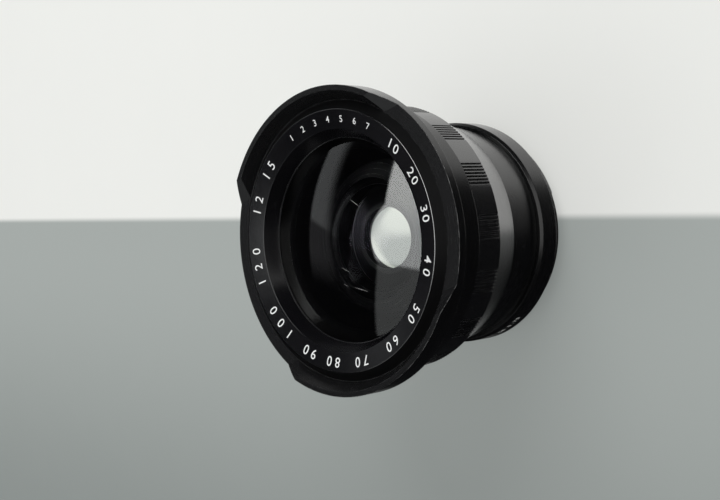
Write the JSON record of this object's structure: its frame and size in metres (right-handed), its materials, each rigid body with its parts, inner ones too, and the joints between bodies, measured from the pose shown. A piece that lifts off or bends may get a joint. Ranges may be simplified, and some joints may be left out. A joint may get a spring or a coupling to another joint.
{
  "type": "wide-angle conversion lens",
  "caption": "Screw-in wide-angle conversion lens with a turning petal hood, a grooved grip ring and a flanged adapter ring with a male filter thread.",
  "frame": {"origin": "centre of the rear thread's end face, on the optical axis", "axes": "+Z along the optical axis towards the front glass, +Y through one long lobe of the hood"},
  "size_m": [0.08, 0.08, 0.06],
  "materials": {
    "black_anodised": "satin black anodised",
    "name_ring_black": "semi-gloss black anodised with white figures",
    "inner_black": "dull black anodised",
    "stop_black": "blackened sheet",
    "front_glass": "coated optical glass",
    "inner_glass": "coated optical glass",
    "seal_black": "thin black seal",
    "washer_nylon": "dark nylon sheet",
    "spring_steel": "bright spring steel"
  },
  "bodies": {
    "rear_body": {"slip_washer": "washer_nylon", "rear_barrel": "black_anodised", "grip_ring": "black_anodised", "guide_screws": "spring_steel", "wave_spring": "spring_steel", "field_stop": "stop_black", "stop_clip": "spring_steel", "rear_cell": "inner_black", "rear_crown": "inner_glass", "rear_flint": "inner_glass", "rear_retaining_ring": "inner_black"},
    "front_body": {"petal_hood": "black_anodised", "name_ring": "name_ring_black", "front_seal": "seal_black", "front_element": "front_glass", "front_baffle": "inner_black", "second_element": "inner_glass", "second_cell": "inner_black", "cell_lock_ring": "inner_black"},
    "adapter_body": {"adapter_ring": "black_anodised"}
  },
  "joints": [
    {"name": "hood_turn", "type": "hinge", "parent": "rear_body", "child": "front_body", "pos_m": [0, 0, 0.0438], "axis": [0, 0, 1], "continuous": true},
    {"name": "adapter_unscrew", "type": "slide", "parent": "rear_body", "child": "adapter_body", "axis": [0, 0, -1], "range_m": [0, 0.0045]}
  ]
}
